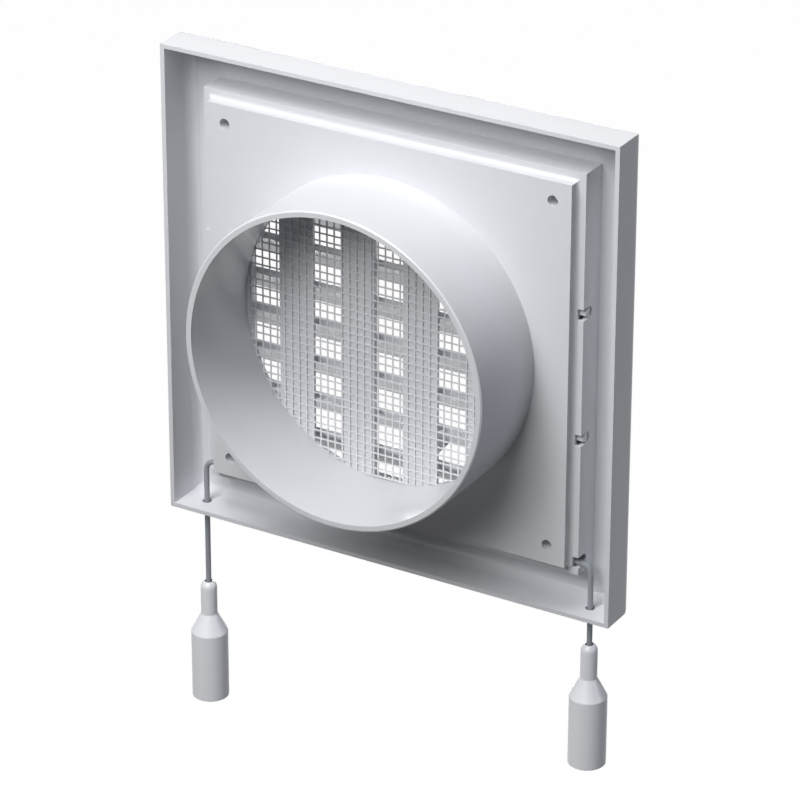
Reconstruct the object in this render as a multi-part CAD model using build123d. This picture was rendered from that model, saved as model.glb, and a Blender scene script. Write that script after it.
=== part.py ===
from build123d import *
from math import acos, degrees, pi, radians, sin, tan
import os

os.makedirs("parts", exist_ok=True)

# Frame: Z up, the louvred front faces -Y, the duct spigot points +Y.
# The plane y = 0 is the wall: the rear edge of the cover lies in it.
# Right and left are as seen from the room, so right is +X.

# Front cover
cover_side = 190.0
cover_depth = 18.6
cover_wall = 1.8
cover_front_wall = 2.0
cover_edge_radius = 6.2
window_half_width = 71.0
window_top = 71.0
window_bottom = -67.2

# Louvre blades, given at the rear upper edge of the middle blade
blade_pitch = 15.0
blade_count = 9
blade_height = 2.8
blade_slope = 45.0
blade_rear_depth = 7.6
blade_middle_top = 11.2
cheek_thickness = 1.6

# Small three-cornered web under one blade
web_blade = 1
web_from = -17.1
web_to = -11.5
web_drop = 6.7
web_thickness = 1.6

# Base body: a shallow box with a raised plate and the spigot on it
box_side = 159.0
box_wall = 1.6
strip_depth = 5.0
strip_wall = 1.4
plate_side = 151.6
plate_depth = 1.2
plate_wall = 2.0
plate_foot_radius = 2.0
plate_skirt_wall = 1.6

# Duct spigot, for ducts of 125 mm
spigot_diameter = 124.0
spigot_length = 37.0
spigot_end_wall = 2.4
spigot_foot_wall = 1.8
spigot_edge = 0.5

# Screw holes through the plate
screw_spacing = 136.6
screw_hole = 4.2
boss_diameter = 7.2
boss_length = 3.2

# Openings through the floor of the spigot and in the shutter
slot_pitch = 26.4
slot_width = 12.2
slot_count = 5
slot_shift = -1.0
slot_edge = 0.2
shutter_overlap = 0.4
shutter_thickness = 1.6
shutter_strip = 2.9
running_gap = 0.2
side_gap = 0.3
rail_width = 2.0
rail_lip = 1.4
rail_hold = 1.6

# Insect screen
screen_thickness = 0.6
screen_gap = 0.15
screen_pitch = 12.2
screen_strand = 1.2
screen_rim = 1.6

# Side notches of the box and the catches of the cover in the upper two
notch_height = 4.4
notch_inset = 2.45
notch_length = 6.1
catch_levels = [24.9, -24.9]
cord_notch_level = -74.6
catch_gap = 0.25
catch_arm = 1.6
catch_arm_gap = 0.3
catch_nose_height = 1.5
catch_nose_depth = 6.6
catch_shoulder_depth = 8.9
catch_front_depth = 9.6

# Cords
cord_diameter = 2.1
cord_depth = 7.8
cord_level = -75.6
cord_from_side = 11.6
cord_hole = 3.6
cord_bend = 5.0
knot_diameter = 4.6
knot_length = 1.6
knot_gap = 0.3

# Lugs on the shutter that the cords are tied to
lug_thickness = 4.0
lug_depth = 3.0
lug_height = 3.4
lug_below_cord = 1.3
lug_from_edge = 1.1

# Cord pulls
pull_length = 50.1
pull_diameter = 14.4
pull_neck_diameter = 6.4
pull_neck_length = 14.0
pull_cone_length = 7.8
pull_bore = 3.2
pull_wall = 1.6
right_pull_top = -128.0
left_pull_top = -108.2

# Values that follow from those above
cover_half = cover_side / 2
cover_inner_half = cover_half - cover_wall
cover_inner_depth = cover_depth - cover_front_wall
box_half = box_side / 2
box_inner_half = box_half - box_wall
strip_inner_depth = strip_depth + strip_wall
plate_half = plate_side / 2
skirt_inner_half = plate_half - plate_skirt_wall
plate_inner_depth = plate_depth + plate_wall
floor_depth = plate_depth + screen_thickness
spigot_radius = spigot_diameter / 2
bore_foot_radius = spigot_radius - spigot_foot_wall
bore_end_radius = spigot_radius - spigot_end_wall
shutter_travel = slot_pitch / 2
shutter_slot = slot_pitch - slot_width - 2 * shutter_overlap
shutter_slot_half_height = bore_foot_radius + slot_edge
shutter_half_height = shutter_slot_half_height + shutter_strip
shutter_rear = plate_inner_depth + running_gap
shutter_front = shutter_rear + shutter_thickness
rail_lip_depth = shutter_front + running_gap
rail_depth = rail_lip_depth + rail_lip
cord_x = cover_half - cord_from_side


def square_form(section, reach):
    """The section drawn in the XY plane, run both ways round a square with mitred corners."""
    upright = extrude(section, amount=reach, both=True)
    return upright & (Rot(0, 90, 0) * upright)


def pan_section(half, depth, front_radius):
    """Section of a pan open at y = 0, with rounded front edges."""
    outline = Pos(0, -depth / 2) * Rectangle(2 * half, depth)
    front_corners = outline.vertices().group_by(Axis.Y)[0]
    return fillet(front_corners, front_radius)


def block(x_range, y_range, z_range):
    """A box between two limits on each axis."""
    low = [min(r) for r in (x_range, y_range, z_range)]
    high = [max(r) for r in (x_range, y_range, z_range)]
    size = [b - a for a, b in zip(low, high)]
    return Pos(*[(a + b) / 2 for a, b in zip(low, high)]) * Box(*size)


def round_ended(half, y_rear, y_front, x_from, x_to, level):
    """A form along X whose side outline is a strip with a half-round front end."""
    centre = y_front + half
    outline = [
        Polyline((centre, half), (y_rear, half), (y_rear, -half), (centre, -half)),
        ThreePointArc((centre, -half), (y_front, 0), (centre, half)),
    ]
    face = Plane.YZ * make_face(Curve() + outline)
    form = extrude(face, amount=abs(x_to - x_from), dir=(1, 0, 0))
    return Pos(min(x_from, x_to), 0, level) * form


def along_y(radius, y_from, y_to, x=0.0, z=0.0):
    """A cylinder along Y."""
    middle = Pos(x, (y_from + y_to) / 2, z) * Rot(90, 0, 0)
    return middle * Cylinder(radius, abs(y_to - y_from))


def side_profile(points, x_from, x_to):
    """An outline given as (y, z) points, made solid between two values of x."""
    face = make_face(Polyline(*[(x_from, y, z) for y, z in points], close=True))
    return extrude(face, amount=x_to - x_from, dir=(1, 0, 0))


def blade_top(index):
    """Height of the rear upper edge of one blade, counted from the lowest."""
    return blade_middle_top + blade_pitch * (index - (blade_count - 1) // 2)


def blade_drop():
    """How far a blade falls from its rear edge to the front of the cover."""
    return (cover_depth - blade_rear_depth) * tan(radians(blade_slope))


def louvre_blade(index):
    top = blade_top(index)
    points = [
        (-blade_rear_depth, top),
        (-blade_rear_depth, top - blade_height),
        (-cover_depth, top - blade_height - blade_drop()),
        (-cover_depth, top - blade_drop()),
    ]
    end = window_half_width + cheek_thickness / 2
    return side_profile(points, -end, end)


def louvre_cheek(side):
    """Side plate that the blade ends run into."""
    low = blade_top(0) - blade_height
    high = blade_top(blade_count - 1)
    front = cover_front_wall / 2 - cover_depth
    foot = low - blade_drop() * (blade_rear_depth + front) / (blade_rear_depth - cover_depth)
    points = [(-blade_rear_depth, low), (-blade_rear_depth, high), (front, high), (front, foot)]
    inner = side * window_half_width
    outer = inner + side * cheek_thickness
    return side_profile(points, min(inner, outer), max(inner, outer))


def blade_web():
    """Three-cornered web that hangs from the front lower edge of one blade."""
    top = blade_top(web_blade) - blade_height - blade_drop()
    points = [(web_from, top), (web_to, top + web_thickness), (web_to, top - web_drop), (web_from, top)]
    corners = [(x, -cover_depth, z) for x, z in points[:3]]
    face = make_face(Polyline(*corners, close=True))
    return extrude(face, amount=web_thickness, dir=(0, 1, 0))


def catch(side, level):
    """Springy arm inside the box whose hook widens from its nose to fill a side notch."""
    half = notch_height / 2 - catch_gap
    arm_outer = side * (box_inner_half - catch_arm_gap)
    arm_inner = arm_outer - side * catch_arm
    arm_root = cover_front_wall / 2 - cover_depth
    height = (level - half, level + half)
    arm = block((arm_inner, arm_outer), (arm_root, -catch_shoulder_depth), height)
    hook = [
        (-catch_nose_depth, level - catch_nose_height / 2),
        (-catch_nose_depth, level + catch_nose_height / 2),
        (-catch_shoulder_depth, level + half),
        (-catch_front_depth, level + half),
        (-catch_front_depth, level - half),
        (-catch_shoulder_depth, level - half),
    ]
    hook_from, hook_to = sorted((arm_inner, side * box_half))
    return arm + side_profile(hook, hook_from, hook_to)


def make_front_cover():
    outer = square_form(pan_section(cover_half, cover_depth, cover_edge_radius), cover_half)
    inner_radius = cover_edge_radius - cover_wall
    inner = square_form(pan_section(cover_inner_half, cover_inner_depth, inner_radius), cover_inner_half)
    width = (-window_half_width, window_half_width)
    window = block(width, (-cover_depth, -cover_inner_depth), (window_bottom, window_top))
    cover = outer - inner - window
    for side in (-1, 1):
        cover += louvre_cheek(side)
        hole = Pos(side * cord_x, -cord_depth, -cover_half) * Cylinder(cord_hole / 2, 4 * cover_wall)
        cover -= hole
        for level in catch_levels:
            cover += catch(side, level)
    for index in range(blade_count):
        cover += louvre_blade(index)
    return cover + blade_web()


def base_outer_section():
    """Box with the raised plate behind it, and a round foot where the plate's skirt meets the strip."""
    points = [
        (-box_half, -cover_inner_depth),
        (box_half, -cover_inner_depth),
        (box_half, -strip_depth),
        (plate_half, -strip_depth),
        (plate_half, -plate_depth),
        (-plate_half, -plate_depth),
        (-plate_half, -strip_depth),
        (-box_half, -strip_depth),
    ]
    face = make_face(Polyline(*points, close=True))
    on_strip = face.vertices().filter_by_position(Axis.Y, -strip_depth - 0.01, -strip_depth + 0.01)
    feet = on_strip.filter_by_position(Axis.X, -plate_half - 0.01, plate_half + 0.01)
    return fillet(feet, plate_foot_radius)


def base_inner_section():
    points = [
        (-box_inner_half, -cover_inner_depth),
        (box_inner_half, -cover_inner_depth),
        (box_inner_half, -strip_inner_depth),
        (skirt_inner_half, -strip_inner_depth),
        (skirt_inner_half, -plate_inner_depth),
        (-skirt_inner_half, -plate_inner_depth),
        (-skirt_inner_half, -strip_inner_depth),
        (-box_inner_half, -strip_inner_depth),
    ]
    return make_face(Polyline(*points, close=True))


def slot_centres():
    return [slot_shift + slot_pitch * (i - (slot_count - 1) / 2) for i in range(slot_count)]


def spigot_bore():
    """The bore narrows a little towards the open end."""
    length = spigot_length + floor_depth
    bore = Pos(0, (spigot_length - floor_depth) / 2, 0) * Rot(-90, 0, 0)
    return bore * Cone(bore_foot_radius, bore_end_radius, length)


def shutter_rail(side):
    """Channel along the upper or lower edge of the shutter, closed at the left end."""
    inner = side * (shutter_half_height + side_gap)
    outer = inner + side * rail_width
    lip = inner - side * rail_hold
    root = plate_wall / 2 - plate_inner_depth
    section = [
        (root, inner),
        (root, outer),
        (-rail_depth, outer),
        (-rail_depth, lip),
        (-rail_lip_depth, lip),
        (-rail_lip_depth, inner),
    ]
    reach = plate_half - plate_skirt_wall / 2
    stop = shutter_left_edge() - shutter_travel - side_gap
    end = block((stop - rail_width, stop), (root, -rail_depth), (lip, outer))
    return side_profile(section, -reach, reach) + end


def side_notch(side, level):
    """Notch through the strip and the side wall of the box, with a round front end."""
    inner = side * (box_half - notch_inset)
    outer = side * (box_half + box_wall)
    return round_ended(notch_height / 2, 0, -strip_depth - notch_length, inner, outer, level)


def make_base_body():
    body = square_form(base_outer_section(), box_half)
    body -= square_form(base_inner_section(), box_inner_half)
    body += along_y(spigot_radius, -plate_inner_depth, spigot_length)
    end_edges = body.edges().filter_by(GeomType.CIRCLE).group_by(Axis.Y)[-1]
    body = chamfer(end_edges, spigot_edge)
    body -= spigot_bore()
    for side in (-1, 1):
        body += shutter_rail(side)
    half_spacing = screw_spacing / 2
    for x in (-half_spacing, half_spacing):
        for z in (-half_spacing, half_spacing):
            body += along_y(boss_diameter / 2, -plate_inner_depth, -plate_inner_depth - boss_length, x, z)
            body -= along_y(screw_hole / 2, 0, -plate_inner_depth - 2 * boss_length, x, z)
    reach = along_y(bore_foot_radius - slot_edge, 0, -2 * plate_inner_depth)
    opening = Box(slot_width, 4 * plate_inner_depth, spigot_diameter)
    for x in slot_centres():
        body -= Pos(x, 0, 0) * opening & reach
    for side in (-1, 1):
        for level in catch_levels + [cord_notch_level]:
            body -= side_notch(side, level)
    return body


def make_insect_screen():
    """Plain round screen with a few of its meshes, flush with the rear of the plate."""
    radius = bore_foot_radius - screen_gap
    rim = radius - screen_rim
    count = int(2 * radius / screen_pitch)
    gap = screen_pitch - screen_strand
    mesh = Box(gap, 4 * plate_inner_depth, gap)
    offsets = [screen_pitch * (i - (count - 1) / 2) for i in range(count)]
    places = [(x, z) for x in offsets for z in offsets if x ** 2 + z ** 2 < rim ** 2]
    meshes = Compound(children=[Pos(x, 0, z) * mesh for x, z in places])
    return along_y(radius, -floor_depth, -plate_depth) - (meshes & along_y(rim, 0, -2 * plate_inner_depth))


def shutter_left_edge():
    """The left edge clears the last opening when the shutter is open."""
    return slot_centres()[0] + shutter_slot / 2


def shutter_right_edge():
    return skirt_inner_half - side_gap


def lug(x_from, x_to):
    """Bracket that steps over the lower rail to hold a cord's end."""
    root_top = shutter_strip + lug_height - shutter_half_height
    root_low = root_top - lug_height - lug_from_edge + side_gap
    arm_rear = -rail_depth - running_gap
    arm_front = arm_rear - lug_depth
    arm_low = cord_level - lug_below_cord
    outline = [
        (-shutter_front, root_low),
        (-shutter_front, root_top),
        (arm_front, root_top),
        (arm_front, arm_low),
        (arm_rear, arm_low),
        (arm_rear, root_low),
    ]
    return side_profile(outline, x_from, x_to)


def lug_edges():
    """Outer faces of the right and the left lug, on the bars at either end of the shutter."""
    boss_inner = screw_spacing / 2 - boss_diameter / 2
    return boss_inner - 2 * side_gap, shutter_left_edge() + lug_from_edge


def make_shutter_plate():
    """Flat plate whose slots match the openings in the floor of the spigot."""
    height = (-shutter_half_height, shutter_half_height)
    plate = block((shutter_left_edge(), shutter_right_edge()), (-shutter_rear, -shutter_front), height)
    slot = Box(shutter_slot, 4 * shutter_front, 2 * shutter_slot_half_height)
    for x in slot_centres()[1:]:
        plate -= Pos(x, 0, 0) * slot
    right_face, left_face = lug_edges()
    plate += lug(right_face - lug_thickness, right_face)
    return plate + lug(left_face, left_face + lug_thickness)


def pull_inner_cone():
    """Radius and depth below the top of a pull, at either end of the cone inside it."""
    upper = (pull_bore / 2, -pull_neck_length)
    lower = (pull_diameter / 2 - pull_wall, -pull_neck_length - pull_cone_length - pull_wall)
    return upper, lower


def knot_shoulder():
    """Depth below the pull's top of the knot's widest part, and its taper in mm for each mm of radius."""
    (upper_radius, upper), (lower_radius, lower) = pull_inner_cone()
    taper = (upper - lower) / (lower_radius - upper_radius)
    widest = knot_diameter / 2 + knot_gap
    return upper - (widest - upper_radius) * taper, taper


def cord_points(side, lug_face, pull_top):
    """From the lug out through the notch, round the bend and down to the knot in the pull."""
    return [
        (lug_face, -cord_depth, cord_level),
        (side * cord_x, -cord_depth, cord_level),
        (side * cord_x, -cord_depth, pull_top + knot_shoulder()[0]),
    ]


def make_knot(end):
    """Tapered plug in place of the knot, shaped to the cone inside the pull."""
    wide = knot_diameter / 2
    narrow = cord_diameter / 2
    rise = (wide - narrow) * knot_shoulder()[1]
    outline = [(0, rise), (narrow, rise), (wide, 0), (wide, -knot_length), (0, -knot_length)]
    face = make_face(Polyline(*outline, close=True))
    return Pos(*end) * revolve(Plane.XZ * face, Axis.Z)


def make_cord(points):
    path = FilletPolyline(*points, radius=cord_bend)
    start = Plane(origin=path @ 0, z_dir=path % 0)
    tube = sweep(start * Circle(cord_diameter / 2), path=path)
    section_times_length = pi * cord_diameter ** 2 / 4 * path.length
    print("cord length", round(path.length, 2), "bend radius", cord_bend)
    print("volume", round(tube.volume, 2), "section times length", round(section_times_length, 2))
    return tube + make_knot(points[-1])


def make_pull(side, top):
    """Bottle-shaped pull, hollow and open below, with a narrow bore down its neck."""
    neck = pull_neck_diameter / 2
    body = pull_diameter / 2
    bore = pull_bore / 2
    dome = degrees(acos(bore / neck))
    dome_rise = neck * sin(radians(dome))
    shoulder = pull_neck_length + pull_cone_length
    upper, lower = pull_inner_cone()
    outline = [
        Line((bore, 0), upper),
        Line(upper, lower),
        Line(lower, (lower[0], -pull_length)),
        Line((lower[0], -pull_length), (body, -pull_length)),
        Line((body, -pull_length), (body, -shoulder)),
        Line((body, -shoulder), (neck, -pull_neck_length)),
        Line((neck, -pull_neck_length), (neck, -dome_rise)),
        CenterArc((0, -dome_rise), neck, 0, dome),
    ]
    face = make_face(Curve() + outline)
    solid = revolve(Plane.XZ * face, Axis.Z)
    return Pos(side * cord_x, -cord_depth, top) * solid


right_lug_face, left_lug_face = lug_edges()
parts = {
    "front_cover": make_front_cover(),
    "base_body": make_base_body(),
    "insect_screen": make_insect_screen(),
    "shutter_plate": make_shutter_plate(),
    "right_cord": make_cord(cord_points(1, right_lug_face, right_pull_top)),
    "left_cord": make_cord(cord_points(-1, left_lug_face, left_pull_top)),
    "right_pull": make_pull(1, right_pull_top),
    "left_pull": make_pull(-1, left_pull_top),
}

for name, shape in parts.items():
    export_step(shape, f"parts/{name}.step")
    box = shape.bounding_box()
    limits = [round(v, 2) for v in (*box.min, *box.max)]
    print(name, len(shape.solids()), "solid", shape.is_valid, round(shape.volume, 1), limits)
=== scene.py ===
"""Finished pieces of a louvred wall vent: moulded shells, fine insect mesh, cords, pulls and studio."""

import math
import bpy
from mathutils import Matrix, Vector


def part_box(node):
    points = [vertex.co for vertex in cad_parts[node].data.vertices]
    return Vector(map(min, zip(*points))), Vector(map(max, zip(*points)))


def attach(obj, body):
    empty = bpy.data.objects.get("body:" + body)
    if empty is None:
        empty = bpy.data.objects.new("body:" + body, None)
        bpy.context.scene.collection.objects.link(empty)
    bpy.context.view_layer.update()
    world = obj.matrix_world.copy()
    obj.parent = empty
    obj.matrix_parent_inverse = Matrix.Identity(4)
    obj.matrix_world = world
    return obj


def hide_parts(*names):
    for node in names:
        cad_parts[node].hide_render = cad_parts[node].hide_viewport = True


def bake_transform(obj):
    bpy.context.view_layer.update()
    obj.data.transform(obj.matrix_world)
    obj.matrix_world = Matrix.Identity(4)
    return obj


bl_info = {
    "name": "Louvred Wall Vent",
    "version": (1, 0, 0),
    "blender": (4, 5, 0),
    "location": "3D View > Sidebar > Wall Vent",
    "description": "Builds the finished pieces of a louvred wall vent and a plain studio for it",
    "category": "Object",
}

import bmesh
import bpy
import numpy as np
from bpy.props import FloatProperty, FloatVectorProperty, IntProperty, PointerProperty
from bpy.types import Operator, Panel, PropertyGroup

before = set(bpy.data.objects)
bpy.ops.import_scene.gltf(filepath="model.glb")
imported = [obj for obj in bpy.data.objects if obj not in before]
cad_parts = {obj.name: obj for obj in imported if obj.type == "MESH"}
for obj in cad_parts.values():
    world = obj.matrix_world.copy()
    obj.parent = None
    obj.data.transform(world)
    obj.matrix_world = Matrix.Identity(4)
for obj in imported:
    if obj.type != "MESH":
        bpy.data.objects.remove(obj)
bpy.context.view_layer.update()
MM = 0.001
SENSOR_WIDTH = 36.0  # millimetres, for the focal length
FLOOR_REACH = 12.0  # metres from the middle of the floor to each side


# Sizes and colours a user may change


class VentStudioSettings(PropertyGroup):
    """Camera, lamps and floor."""

    camera_place: FloatVectorProperty(
        name="Camera place", description="Where the camera stands", subtype="TRANSLATION", unit="LENGTH",
        default=(-0.7471, 1.2537, 0.6902))
    camera_turn: FloatVectorProperty(
        name="Camera turn", description="How the camera is turned about X, Y and Z", subtype="EULER",
        unit="ROTATION", default=(math.radians(63.859), math.radians(-0.088), math.radians(-149.401)))
    focal_length: FloatProperty(
        name="Focal length", description="Lens of the camera in millimetres", default=199.47, min=10.0)
    near_side: FloatProperty(
        name="Near side", description="Side length of the near lamp and the lamp overhead", unit="LENGTH",
        default=0.18)
    far_side: FloatProperty(
        name="Far side", description="Side length of the lamps beside the vent and before the louvres",
        unit="LENGTH", default=0.45)
    near_place: FloatVectorProperty(
        name="Near place", description="Where the near lamp hangs, above the mouth of the spigot",
        subtype="TRANSLATION", unit="LENGTH", default=(0.08, 0.25, 0.6))
    near_power: FloatProperty(
        name="Near power", description="Power of the near lamp", unit="POWER", default=1.75)
    top_place: FloatVectorProperty(
        name="Top place", description="Where the lamp overhead hangs", subtype="TRANSLATION", unit="LENGTH",
        default=(0.0, 0.06, 0.8))
    top_power: FloatProperty(
        name="Top power", description="Power of the lamp overhead", unit="POWER", default=1.4)
    front_place: FloatVectorProperty(
        name="Front place", description="Where the lamp before the spigot hangs", subtype="TRANSLATION",
        unit="LENGTH", default=(0.094, 1.189, 1.071))
    front_side: FloatProperty(
        name="Front side", description="Side length of the lamp before the spigot", unit="LENGTH",
        default=0.9)
    front_power: FloatProperty(
        name="Front power", description="Power of the lamp before the spigot", unit="POWER", default=21.5)
    side_place: FloatVectorProperty(
        name="Side place", description="Where the lamp beside the vent hangs", subtype="TRANSLATION",
        unit="LENGTH", default=(-1.552, -0.274, 0.278))
    side_power: FloatProperty(
        name="Side power", description="Power of the lamp beside the vent", unit="POWER", default=3.2)
    side_colour: FloatVectorProperty(
        name="Side colour", description="Cool colour of the lamp beside the vent", subtype="COLOR",
        default=(0.80, 0.88, 1.0))
    room_place: FloatVectorProperty(
        name="Room place", description="Where the lamp before the louvres hangs", subtype="TRANSLATION",
        unit="LENGTH", default=(0.8, -1.3, -0.5))
    room_power: FloatProperty(
        name="Room power", description="Power of the lamp before the louvres", unit="POWER", default=25.0)
    floor_level: FloatProperty(
        name="Floor level", description="Height of the floor", unit="LENGTH", default=-1.4)
    floor_colour: FloatVectorProperty(
        name="Floor colour", description="Colour of the floor", subtype="COLOR", default=(0.16, 0.16, 0.16))
    floor_glow: FloatProperty(
        name="Floor glow", description="Even brightness of the floor as the camera sees it",
        default=0.985, min=0.0)


class VentFinishSettings(PropertyGroup):
    """Colours and edges of the mouldings."""

    shell_colour: FloatVectorProperty(
        name="Shell colour", description="Colour of the cover, base and shutter", subtype="COLOR",
        default=(0.68, 0.69, 0.72))
    mesh_colour: FloatVectorProperty(
        name="Mesh colour", description="Colour of the insect mesh", subtype="COLOR",
        default=(0.72, 0.73, 0.75))
    pull_colour: FloatVectorProperty(
        name="Pull colour", description="Colour of the cord pulls", subtype="COLOR",
        default=(0.84, 0.85, 0.89))
    cord_colour: FloatVectorProperty(
        name="Cord colour", description="Colour of the cords", subtype="COLOR",
        default=(0.30, 0.32, 0.35))
    edge_round: FloatProperty(
        name="Edge round", description="Radius of the small rounding on moulded edges", unit="LENGTH",
        default=0.22 * MM, min=0.0)


class VentMeshSettings(PropertyGroup):
    """Fine moulded insect mesh."""

    pitch: FloatProperty(
        name="Pitch", description="Distance from strand to strand", unit="LENGTH", default=3.1 * MM)
    strand: FloatProperty(
        name="Strand", description="Width of one strand", unit="LENGTH", default=0.56 * MM)
    thickness: FloatProperty(
        name="Thickness", description="Thickness of the mesh from rear to front", unit="LENGTH",
        default=0.3 * MM)


class VentCordSettings(PropertyGroup):
    """Cords, knots and pulls."""

    diameter: FloatProperty(
        name="Diameter", description="Diameter of a cord", unit="LENGTH", default=2.1 * MM)
    sides: IntProperty(
        name="Sides", description="Number of flats round a cord", default=28, min=8)
    braid_pitch: FloatProperty(
        name="Braid pitch", description="Length of one turn of a yarn of the braid", unit="LENGTH",
        default=3.4 * MM)
    carriers: IntProperty(
        name="Carriers", description="Yarns of the braid that run each way round", default=6, min=2)
    tail: FloatProperty(
        name="Tail", description="Length of cord below the knot", unit="LENGTH", default=3.5 * MM)


# Mesh helpers


def grid_quads(rows, columns, wrap_rows=False, wrap_columns=False):
    """Quads of a grid of points numbered row by row; a wrapped direction joins its last line to its first."""
    row = np.arange(rows if wrap_rows else rows - 1)[:, None]
    column = np.arange(columns if wrap_columns else columns - 1)[None, :]
    next_row = (row + 1) % rows
    next_column = (column + 1) % columns
    corners = [row * columns + column, row * columns + next_column]
    corners += [next_row * columns + next_column, next_row * columns + column]
    return np.stack([c.reshape(-1) for c in np.broadcast_arrays(*corners)], axis=1)


def new_piece(name, points, faces, material):
    """A mesh object at the origin with its material."""
    mesh = bpy.data.meshes.new(name)
    mesh.from_pydata(np.asarray(points).tolist(), [], [list(face) for face in faces])
    mesh.materials.append(material)
    piece = bpy.data.objects.new(name, mesh)
    bpy.context.scene.collection.objects.link(piece)
    return piece


def smooth_by_angle(mesh, degrees):
    """Smooth shading with sharp edges where two faces meet at more than the angle in degrees."""
    shape = bmesh.new()
    shape.from_mesh(mesh)
    for face in shape.faces:
        face.smooth = True
    for edge in shape.edges:
        edge.smooth = len(edge.link_faces) == 2 and edge.calc_face_angle(0.0) < math.radians(degrees)
    shape.to_mesh(mesh)
    shape.free()


def carried_round(path, radius, sides):
    """Points of a tube: each path point plus radius times the cosine and sine of the angle along two
    directions square to the path, which are carried from point to point without twist."""
    path = np.asarray(path, float)
    tangents = np.gradient(path, axis=0)
    tangents /= np.linalg.norm(tangents, axis=1)[:, None]
    side = np.cross(tangents[0], (0.0, 1.0, 0.0))
    side /= np.linalg.norm(side)
    sideways = np.empty_like(path)
    for index, tangent in enumerate(tangents):
        side = side - tangent * side.dot(tangent)
        side /= np.linalg.norm(side)
        sideways[index] = side
    upwards = np.cross(tangents, sideways)
    angle = np.linspace(0.0, 2.0 * math.pi, sides, endpoint=False)
    ring = np.cos(angle)[None, :, None] * sideways[:, None, :]
    ring += np.sin(angle)[None, :, None] * upwards[:, None, :]
    return path[:, None, :] + radius * ring


def turned(profile, centre, sides):
    """Points of a turned form: each profile pair of radius and height, swung round the upright axis
    through the centre, so x and y are the radius times the cosine and sine of the angle."""
    profile = np.asarray(profile, float)
    angle = np.linspace(0.0, 2.0 * math.pi, sides, endpoint=False)
    points = np.empty((len(profile), sides, 3))
    points[:, :, 0] = centre[0] + profile[:, 0, None] * np.cos(angle)
    points[:, :, 1] = centre[1] + profile[:, 0, None] * np.sin(angle)
    points[:, :, 2] = centre[2] + profile[:, 1, None]
    return points


def arc(centre, radius, start, end, steps):
    """Points of a circular arc in the plane of radius and height, from one angle in degrees to another."""
    angle = np.radians(np.linspace(start, end, steps))
    return np.stack([centre[0] + radius * np.cos(angle), centre[1] + radius * np.sin(angle)], axis=1)


# Materials

# Moulded plastic: size of the clouding and of the grain, and how far they change colour, gloss and height
CLOUD_SCALE, CLOUD_DETAIL = 38.0, 3.0
CLOUD_DARK, CLOUD_LIGHT = 0.975, 1.02
CLOUD_GLOSSIER, CLOUD_DULLER = 0.04, 0.05
GRAIN_SCALE, GRAIN_DETAIL = 2600.0, 2.0
GRAIN_DEPTH = 0.02 * MM

# Braided cord: painted shade in the gaps and painted light on the crowns of its yarns, their relief, and the
# cord's finish
BRAID_PAINTED_SHADE, BRAID_PAINTED_LIGHT = 0.72, 1.12
BRAID_RELIEF, BRAID_DEPTH = 0.5, 0.12 * MM
BRAID_ROUGHNESS, BRAID_SHEEN = 0.55, 0.15


def start_material(name):
    """A new node material, with its nodes, its links and its principled shader."""
    material = bpy.data.materials.new(name)
    material.use_nodes = True
    nodes = material.node_tree.nodes
    shader = nodes["Principled BSDF"]
    return material, nodes, material.node_tree.links, shader


def two_shades(nodes, colour, dark, light):
    """A Mix node between the colour times the dark factor and the colour times the light factor."""
    mix = nodes.new("ShaderNodeMix")
    mix.data_type = "RGBA"
    mix.inputs["A"].default_value = (*[dark * c for c in colour], 1.0)
    mix.inputs["B"].default_value = (*[min(1.0, light * c) for c in colour], 1.0)
    return mix


def moulded_plastic(name, colour, roughness, grain):
    """Satin moulded plastic: faint clouding of its colour, uneven gloss and a fine spark-eroded grain."""
    material, nodes, links, shader = start_material(name)
    place = nodes.new("ShaderNodeTexCoord")
    clouds = nodes.new("ShaderNodeTexNoise")
    clouds.inputs["Scale"].default_value = CLOUD_SCALE
    clouds.inputs["Detail"].default_value = CLOUD_DETAIL
    links.new(place.outputs["Object"], clouds.inputs["Vector"])
    tint = two_shades(nodes, colour, CLOUD_DARK, CLOUD_LIGHT)
    links.new(clouds.outputs["Fac"], tint.inputs["Factor"])
    links.new(tint.outputs["Result"], shader.inputs["Base Color"])
    gloss = nodes.new("ShaderNodeMapRange")
    gloss.inputs["To Min"].default_value = roughness - CLOUD_GLOSSIER
    gloss.inputs["To Max"].default_value = roughness + CLOUD_DULLER
    links.new(clouds.outputs["Fac"], gloss.inputs["Value"])
    links.new(gloss.outputs["Result"], shader.inputs["Roughness"])
    grit = nodes.new("ShaderNodeTexNoise")
    grit.inputs["Scale"].default_value = GRAIN_SCALE
    grit.inputs["Detail"].default_value = GRAIN_DETAIL
    links.new(place.outputs["Object"], grit.inputs["Vector"])
    bump = nodes.new("ShaderNodeBump")
    bump.inputs["Strength"].default_value = grain
    bump.inputs["Distance"].default_value = GRAIN_DEPTH
    links.new(grit.outputs["Fac"], bump.inputs["Height"])
    links.new(bump.outputs["Normal"], shader.inputs["Normal"])
    return material


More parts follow.
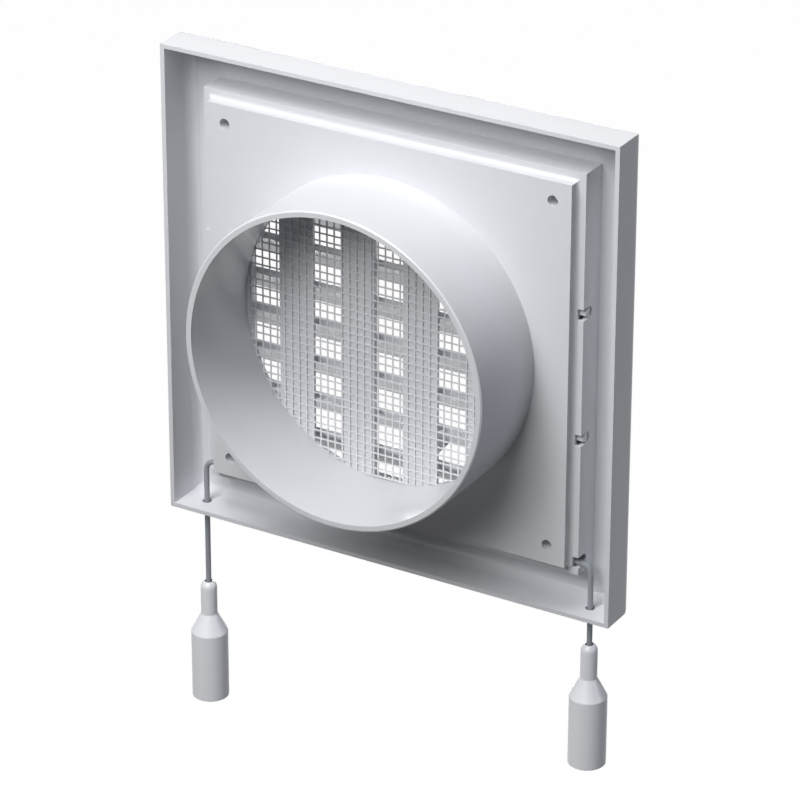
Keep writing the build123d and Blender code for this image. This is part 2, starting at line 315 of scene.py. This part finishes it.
def braided_cord(name, colour, carriers):
    """Braid: two sets of yarns cross on the tube's own map, and the higher of their two sine waves is the
    surface, with painted shade in the gaps and painted light on the crowns."""
    material, nodes, links, shader = start_material(name)
    place = nodes.new("ShaderNodeUVMap")
    place.uv_map = "Braid"
    split = nodes.new("ShaderNodeSeparateXYZ")
    links.new(place.outputs["UV"], split.inputs["Vector"])

    def maths(operation, *values):
        node = nodes.new("ShaderNodeMath")
        node.operation = operation
        for socket, value in zip(node.inputs, values):
            if isinstance(value, float):
                socket.default_value = value
            else:
                links.new(value, socket)
        return node.outputs["Value"]

    round_way = maths("MULTIPLY", split.outputs["Y"], 2.0 * math.pi * carriers)
    long_way = maths("MULTIPLY", split.outputs["X"], 2.0 * math.pi * carriers)
    right_yarns = maths("SINE", maths("ADD", round_way, long_way))
    left_yarns = maths("SINE", maths("SUBTRACT", round_way, long_way))
    height = maths("MAXIMUM", right_yarns, left_yarns)
    # The cord's colour is painted shade in the yarns' gaps and painted light on their crowns, set by the
    # braid's height
    shade = two_shades(nodes, colour, BRAID_PAINTED_SHADE, BRAID_PAINTED_LIGHT)
    links.new(maths("MULTIPLY_ADD", height, 0.5, 0.5), shade.inputs["Factor"])
    links.new(shade.outputs["Result"], shader.inputs["Base Color"])
    bump = nodes.new("ShaderNodeBump")
    bump.inputs["Strength"].default_value = BRAID_RELIEF
    bump.inputs["Distance"].default_value = BRAID_DEPTH
    links.new(height, bump.inputs["Height"])
    links.new(bump.outputs["Normal"], shader.inputs["Normal"])
    shader.inputs["Roughness"].default_value = BRAID_ROUGHNESS
    shader.inputs["Sheen Weight"].default_value = BRAID_SHEEN
    return material


# Moulded shells

# The pieces that wear rounded copies, each with the body it rides on
SHELLS = (("front_cover", "vent"), ("base_body", "vent"), ("shutter_plate", "shutter"))
SHELL_MERGE = 0.002 * MM
FLAT_ANGLE = 0.4  # degrees between faces that are joined into one
SHELL_EDGE_ANGLE = 32.0  # degrees between faces past which an edge is hard and rounded
SHELL_EDGE_STEPS = 2


def round_edges(piece, radius, segments, degrees):
    """Small rounding on every edge where faces meet at more than the angle in degrees."""
    rounding = piece.modifiers.new("edge round", "BEVEL")
    rounding.width = radius
    rounding.segments = segments
    rounding.limit_method = "ANGLE"
    rounding.angle_limit = math.radians(degrees)
    rounding.harden_normals = True


def rounded_copy(node, edge_round):
    """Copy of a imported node: its loose triangles merged, flat faces joined and hard edges given a small
    round."""
    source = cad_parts[node]
    mesh = source.data.copy()
    mesh.name = node + "_rounded"
    shape = bmesh.new()
    shape.from_mesh(mesh)
    bmesh.ops.remove_doubles(shape, verts=shape.verts, dist=SHELL_MERGE)
    bmesh.ops.dissolve_limit(
        shape, angle_limit=math.radians(FLAT_ANGLE), verts=shape.verts, edges=shape.edges)
    shape.to_mesh(mesh)
    shape.free()
    smooth_by_angle(mesh, SHELL_EDGE_ANGLE)
    piece = bpy.data.objects.new(node + "_shell", mesh)
    bpy.context.scene.collection.objects.link(piece)
    round_edges(piece, edge_round, SHELL_EDGE_STEPS, SHELL_EDGE_ANGLE)
    return piece


class VENT_OT_shells(Operator):
    """Gives the cover, the base and the shutter their rounded edges and their plastic"""

    bl_idname = "vent.shells"
    bl_label = "Cover, base and shutter"

    def execute(self, context):
        finish = context.scene.vent_finish
        material = moulded_plastic("shell plastic", finish.shell_colour, roughness=0.29, grain=0.1)
        for node, body in SHELLS:
            piece = rounded_copy(node, finish.edge_round)
            piece.data.materials.clear()
            piece.data.materials.append(material)
            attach(piece, body)
            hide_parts(node)
        return {"FINISHED"}


# Insect mesh

MESH_MERGE = 0.001 * MM


def strand_lines(radius, pitch, strand):
    """Both edges of every strand across the disc, the strands standing evenly about the middle."""
    count = 2 * int(radius / pitch) + 1
    middles = (np.arange(count) - (count - 1) / 2) * pitch
    edges = np.stack([middles - strand / 2, middles + strand / 2], axis=1)
    return edges.reshape(-1)


def mesh_surface(radius, pitch, strand, rear, front):
    """Points and faces of the mesh: a grid of the strands' edge lines is solid where either of its two
    directions lies on a strand, both sides are its cells at the two depths, walls stand wherever a solid
    cell has an open neighbour, and points past the rim are drawn in to the rim along their radius."""
    lines = strand_lines(radius, pitch, strand)
    x, z = np.meshgrid(lines, lines, indexing="ij")
    reach = np.hypot(x, z)
    inward = radius / np.maximum(reach, radius)
    flat = np.stack([x * inward, z * inward], axis=-1)
    size = len(lines)
    cell = np.arange(size - 1)
    on_strand = cell % 2 == 0
    solid = on_strand[:, None] | on_strand[None, :]
    inside = reach < radius
    solid &= inside[:-1, :-1] | inside[1:, :-1] | inside[:-1, 1:] | inside[1:, 1:]
    points = np.empty((2, size, size, 3))
    points[..., 0] = flat[None, ..., 0]
    points[..., 2] = flat[None, ..., 1]
    points[0, ..., 1] = rear
    points[1, ..., 1] = front
    number = np.arange(2 * size * size).reshape(2, size, size)
    corner = [(0, 0), (1, 0), (1, 1), (0, 1)]

    def cells(layer, mask):
        picked = [number[layer, i:size - 1 + i, j:size - 1 + j][mask] for i, j in corner]
        return np.stack(picked, axis=1)

    faces = [cells(0, solid)[:, ::-1], cells(1, solid)]
    padded = np.pad(solid, 1)
    for (i, j), (first, second) in {
        (-1, 0): (0, 3), (1, 0): (2, 1), (0, -1): (1, 0), (0, 1): (3, 2),
    }.items():
        neighbour = padded[1 + i:size + i, 1 + j:size + j]
        mask = solid & ~neighbour
        rear_cells, front_cells = cells(0, mask), cells(1, mask)
        walls = [rear_cells[:, first], front_cells[:, first], front_cells[:, second], rear_cells[:, second]]
        faces.append(np.stack(walls, axis=1))
    return points.reshape(-1, 3), np.concatenate(faces)


class VENT_OT_insect_mesh(Operator):
    """Builds the fine moulded mesh across the bore"""

    bl_idname = "vent.insect_mesh"
    bl_label = "Insect mesh"

    def execute(self, context):
        settings = context.scene.vent_mesh
        finish = context.scene.vent_finish
        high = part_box("insect_screen")[1]
        points, faces = mesh_surface(
            high.x, settings.pitch, settings.strand, high.y, high.y - settings.thickness)
        material = moulded_plastic("mesh plastic", finish.mesh_colour, roughness=0.42, grain=0.1)
        piece = new_piece("insect_mesh", points, faces, material)
        shape = bmesh.new()
        shape.from_mesh(piece.data)
        loose = [vertex for vertex in shape.verts if not vertex.link_faces]
        bmesh.ops.delete(shape, geom=loose, context="VERTS")
        bmesh.ops.remove_doubles(shape, verts=shape.verts, dist=MESH_MERGE)
        bmesh.ops.recalc_face_normals(shape, faces=shape.faces)
        shape.to_mesh(piece.data)
        shape.free()
        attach(piece, "vent")
        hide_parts("insect_screen")
        return {"FINISHED"}


# Cords and pulls

# Each route is in millimetres: from the lug inside the box, out through the side notch, round the bend
# and straight down under the pull's weight to the knot inside it.
CORD_ROUTES = {
    "right": [(64.1, -7.8, -75.6), (74.0, -7.8, -75.6), (83.4, -7.8, -75.6), (83.4, -7.8, -85.0),
              (83.4, -7.8, -144.35)],
    "left": [(-46.0, -7.8, -75.6), (-74.0, -7.8, -75.6), (-83.4, -7.8, -75.6), (-83.4, -7.8, -85.0),
             (-83.4, -7.8, -124.55)],
}
ROUTE_STEP = 0.5 * MM
NOTCH_MOUTH = 79.5 * MM  # from the middle to the outside of the box's side wall
NOTCH_SHARE = 0.3  # of the diameter, by which the hanging run starts inside the notch's mouth
PULL_TOP = {"right": -128.0 * MM, "left": -108.2 * MM}

# The knot's middle is below the cord's end, and its cord is pulled a little thinner. The tail leans as
# it goes down from the knot.
KNOT_DROP, KNOT_REACH, KNOT_RISE = 0.6 * MM, 1.35 * MM, 0.75 * MM
KNOT_THINNING = 0.86
KNOT_STEPS = 120
TAIL_DROP, TAIL_LEAN, TAIL_STEPS = 1.2 * MM, 0.06, 12


def route_line(name, route):
    """Points along the smooth spline that has the route's points as its control points."""
    curve = bpy.data.curves.new(name, "CURVE")
    curve.dimensions = "3D"
    curve.resolution_u = 24
    spline = curve.splines.new("NURBS")
    spline.points.add(len(route) - 1)
    for point, place in zip(spline.points, route):
        point.co = (*[MM * value for value in place], 1.0)
    spline.order_u = 3
    spline.use_endpoint_u = True
    carrier = bpy.data.objects.new(name, curve)
    bpy.context.scene.collection.objects.link(carrier)
    line = bpy.data.meshes.new_from_object(carrier)
    points = np.empty(len(line.vertices) * 3)
    line.vertices.foreach_get("co", points)
    bpy.data.objects.remove(carrier)
    bpy.data.curves.remove(curve)
    bpy.data.meshes.remove(line)
    return points.reshape(-1, 3)


def evened(path, step):
    """The same line with its points an even step apart."""
    along = np.concatenate([[0.0], np.cumsum(np.linalg.norm(np.diff(path, axis=0), axis=1))])
    places = np.linspace(0.0, along[-1], max(2, int(round(along[-1] / step)) + 1))
    return np.stack([np.interp(places, along, path[:, axis]) for axis in range(3)], axis=1)


def cord_tube(name, path, diameter, settings, material):
    """A tube along the path, closed at its ends, with the length along it and the way round on its map."""
    points = carried_round(path, diameter / 2, settings.sides)
    rows, sides = points.shape[:2]
    quads = grid_quads(rows, sides, wrap_columns=True)
    faces = quads.tolist() + [list(range(sides))[::-1], list(range((rows - 1) * sides, rows * sides))]
    piece = new_piece(name, points.reshape(-1, 3), faces, material)
    mesh = piece.data
    braid = mesh.uv_layers.new(name="Braid")
    along = np.concatenate([[0.0], np.cumsum(np.linalg.norm(np.diff(path, axis=0), axis=1))])
    corner_points = np.empty(len(mesh.loops), np.int32)
    mesh.loops.foreach_get("vertex_index", corner_points)
    u = along[corner_points // sides] / settings.braid_pitch
    v = (corner_points % sides) / sides
    wrapped = np.zeros(len(mesh.loops), bool)
    wrapped[: 4 * len(quads)] = np.tile([False, True, True, False], len(quads))
    v = np.where(wrapped & (v == 0.0), 1.0, v)
    braid.data.foreach_set("uv", np.stack([u, v], axis=1).reshape(-1).astype(np.float32))
    mesh.polygons.foreach_set("use_smooth", np.arange(len(mesh.polygons)) < len(quads))
    return piece


def knot_line(centre, reach, rise, steps):
    """An overhand knot: a trefoil whose radius swings by a third of the reach three times in two turns,
    and whose height swings three times with it. It starts at its inmost point, where no end shows."""
    turn = np.linspace(0.0, 4.0 * math.pi, steps) + 2.0 * math.pi / 3.0
    radius = reach * (2.0 + np.cos(1.5 * turn)) / 3.0
    return np.stack([
        centre[0] + radius * np.cos(turn),
        centre[1] + radius * np.sin(turn),
        centre[2] + rise * np.sin(1.5 * turn),
    ], axis=1)


def tie_knot(side, end, settings, material):
    """The knot on the end of a cord and the short tail below it, both riding on the pull."""
    loop = knot_line((end[0], end[1], end[2] - KNOT_DROP), KNOT_REACH, KNOT_RISE, KNOT_STEPS)
    knot = cord_tube(side + "_knot", loop, KNOT_THINNING * settings.diameter, settings, material)
    drop = np.linspace(0.0, settings.tail, TAIL_STEPS)
    tail_line = np.stack(
        [end[0] + TAIL_LEAN * drop, np.full(TAIL_STEPS, end[1]), end[2] - TAIL_DROP - drop], axis=1)
    tail = cord_tube(side + "_tail", tail_line, settings.diameter, settings, material)
    for piece in (knot, tail):
        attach(piece, side + "_pull")
    return [knot, tail]


class VENT_OT_cords(Operator):
    """Builds both cords: the run inside the box, the run that hangs to its pull, and the knot"""

    bl_idname = "vent.cords"
    bl_label = "Cords"

    def execute(self, context):
        settings = context.scene.vent_cords
        finish = context.scene.vent_finish
        material = braided_cord("cord braid", finish.cord_colour, float(settings.carriers))
        for side, route in CORD_ROUTES.items():
            line = evened(route_line(side + "_route", route), ROUTE_STEP)
            inside = np.abs(line[:, 0]) < NOTCH_MOUTH - NOTCH_SHARE * settings.diameter
            hanging = line[~inside]
            inner = cord_tube(
                side + "_cord_inner", line[: inside.sum() + 1], settings.diameter, settings, material)
            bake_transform(inner)
            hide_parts(side + "_cord")
            outer = cord_tube(side + "_cord_hanging", hanging, settings.diameter, settings, material)
            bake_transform(outer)
            knot = tie_knot(side, hanging[-1], settings, material)
            for piece in [outer] + knot:
                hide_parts(side + "_cord")
        return {"FINISHED"}


# Outline of a pull in millimetres, as radius and height from its top: the dome, the neck, the cone and
# the body down the outside, then the open bottom, the cavity and the bore up the inside.
PULL_DOME = {"centre": (0.0, -2.771), "radius": 3.2, "start": 60.0, "end": 0.0, "steps": 9}
PULL_OUTLINE = [(3.2, -14.0), (7.2, -21.8), (7.2, -50.1), (5.6, -50.1), (5.6, -23.4), (1.6, -14.0)]
PULL_SIDES = 72
PULL_EDGE_ANGLE = 18.0  # degrees between faces past which an edge is hard and rounded
PULL_EDGE_STEPS = 3


class VENT_OT_pulls(Operator):
    """Builds the bottle-shaped pulls as turned forms with a bore for the cord and an open bottom"""

    bl_idname = "vent.pulls"
    bl_label = "Cord pulls"

    def execute(self, context):
        finish = context.scene.vent_finish
        material = moulded_plastic("pull plastic", finish.pull_colour, roughness=0.30, grain=0.06)
        outline = np.concatenate([arc(**PULL_DOME), np.asarray(PULL_OUTLINE)]) * MM
        for side, top in PULL_TOP.items():
            end = CORD_ROUTES[side][-1]
            points = turned(outline, (end[0] * MM, end[1] * MM, top), PULL_SIDES)
            faces = grid_quads(*points.shape[:2], wrap_rows=True, wrap_columns=True)[:, ::-1]
            piece = new_piece(side + "_pull_body", points.reshape(-1, 3), faces, material)
            smooth_by_angle(piece.data, PULL_EDGE_ANGLE)
            round_edges(piece, finish.edge_round, PULL_EDGE_STEPS, PULL_EDGE_ANGLE)
            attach(piece, side + "_pull")
            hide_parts(side + "_pull")
        return {"FINISHED"}


# Studio


def floor_material(settings):
    """Pale matt floor that takes shadows and has an even glow for the camera, mirrors and glass."""
    material = bpy.data.materials.new("studio floor")
    material.use_nodes = True
    nodes, links = material.node_tree.nodes, material.node_tree.links
    nodes.remove(nodes["Principled BSDF"])
    matt = nodes.new("ShaderNodeBsdfDiffuse")
    matt.inputs["Color"].default_value = (*settings.floor_colour, 1.0)
    glow = nodes.new("ShaderNodeEmission")
    links.new(seen_directly(nodes, links, settings.floor_glow), glow.inputs["Strength"])
    both = nodes.new("ShaderNodeAddShader")
    links.new(matt.outputs["BSDF"], both.inputs[0])
    links.new(glow.outputs["Emission"], both.inputs[1])
    links.new(both.outputs["Shader"], nodes["Material Output"].inputs["Surface"])
    return material


def seen_directly(nodes, links, strength):
    """Strength for rays that come from the camera or through a mirror or glass, and none for others."""
    rays = nodes.new("ShaderNodeLightPath")
    total = rays.outputs["Is Camera Ray"]
    for name in ("Is Glossy Ray", "Is Transmission Ray"):
        add = nodes.new("ShaderNodeMath")
        add.operation = "ADD"
        add.use_clamp = True
        links.new(total, add.inputs[0])
        links.new(rays.outputs[name], add.inputs[1])
        total = add.outputs["Value"]
    scale = nodes.new("ShaderNodeMath")
    scale.operation = "MULTIPLY"
    links.new(total, scale.inputs[0])
    scale.inputs[1].default_value = strength
    return scale.outputs["Value"]


def add_lamp(name, place, side, power, colour=(1.0, 1.0, 1.0)):
    """Square area lamp at a place, tilted and turned to face the middle of the vent."""
    lamp = bpy.data.lights.new(name, "AREA")
    lamp.shape = "SQUARE"
    lamp.size = side
    lamp.energy = power
    lamp.color = colour
    carrier = bpy.data.objects.new(name, lamp)
    bpy.context.scene.collection.objects.link(carrier)
    carrier.location = place
    direction = -np.asarray(place, float)
    tilt = math.atan2(math.hypot(*direction[:2]), -direction[2])
    heading = math.atan2(direction[0], -direction[1])
    carrier.rotation_euler = (tilt, 0.0, math.pi + heading)


class VENT_OT_studio(Operator):
    """Sets up the camera, the lamps, the white surroundings and the floor"""

    bl_idname = "vent.studio"
    bl_label = "Studio"

    def execute(self, context):
        settings = context.scene.vent_studio
        scene = context.scene
        scene.view_settings.view_transform = "Standard"
        view = bpy.data.cameras.new("photo camera")
        view.lens = settings.focal_length
        view.sensor_width = SENSOR_WIDTH
        camera = bpy.data.objects.new("photo camera", view)
        scene.collection.objects.link(camera)
        camera.location = settings.camera_place
        camera.rotation_euler = settings.camera_turn
        scene.camera = camera
        add_lamp("near lamp", settings.near_place, settings.near_side, settings.near_power)
        add_lamp("top lamp", settings.top_place, settings.near_side, settings.top_power)
        add_lamp("front lamp", settings.front_place, settings.front_side, settings.front_power)
        add_lamp("side lamp", settings.side_place, settings.far_side, settings.side_power,
                 settings.side_colour)
        add_lamp("room lamp", settings.room_place, settings.far_side, settings.room_power)
        self.surround_with_white(scene)
        self.lay_floor(settings)
        return {"FINISHED"}

    def surround_with_white(self, scene):
        """White for rays that come from the camera or through a mirror or glass, and no other light."""
        world = bpy.data.worlds.new("studio light")
        world.use_nodes = True
        scene.world = world
        nodes, links = world.node_tree.nodes, world.node_tree.links
        back = nodes["Background"]
        back.inputs["Color"].default_value = (1.0, 1.0, 1.0, 1.0)
        links.new(seen_directly(nodes, links, 1.0), back.inputs["Strength"])

    def lay_floor(self, settings):
        """A square floor that reaches past the camera's view on every side."""
        corners = ((-1, -1), (1, -1), (1, 1), (-1, 1))
        points = [(x * FLOOR_REACH, y * FLOOR_REACH, settings.floor_level) for x, y in corners]
        mesh = bpy.data.meshes.new("studio floor")
        mesh.from_pydata(points, [], [(0, 1, 2, 3)])
        mesh.materials.append(floor_material(settings))
        floor = bpy.data.objects.new("studio floor", mesh)
        bpy.context.scene.collection.objects.link(floor)


class VENT_PT_panel(Panel):
    """Lists the pieces of the vent"""

    bl_idname = "VENT_PT_panel"
    bl_label = "Wall Vent"
    bl_space_type = "VIEW_3D"
    bl_region_type = "UI"
    bl_category = "Wall Vent"

    def draw(self, context):
        for operator in OPERATORS:
            self.layout.operator(operator.bl_idname)


OPERATORS = (VENT_OT_studio, VENT_OT_pulls, VENT_OT_cords, VENT_OT_insect_mesh, VENT_OT_shells)
SETTINGS = {
    "vent_studio": VentStudioSettings,
    "vent_finish": VentFinishSettings,
    "vent_mesh": VentMeshSettings,
    "vent_cords": VentCordSettings,
}


def register():
    for group in SETTINGS.values():
        bpy.utils.register_class(group)
    for name, group in SETTINGS.items():
        setattr(bpy.types.Scene, name, PointerProperty(type=group))
    for operator in OPERATORS:
        bpy.utils.register_class(operator)
    bpy.utils.register_class(VENT_PT_panel)


def unregister():
    bpy.utils.unregister_class(VENT_PT_panel)
    for operator in reversed(OPERATORS):
        bpy.utils.unregister_class(operator)
    for name in SETTINGS:
        delattr(bpy.types.Scene, name)
    for group in reversed(SETTINGS.values()):
        bpy.utils.unregister_class(group)


def main():
    register()
    bpy.ops.vent.studio()
    bpy.ops.vent.pulls()
    bpy.ops.vent.cords()
    bpy.ops.vent.insect_mesh()
    bpy.ops.vent.shells()


if __name__ == "__main__":
    main()
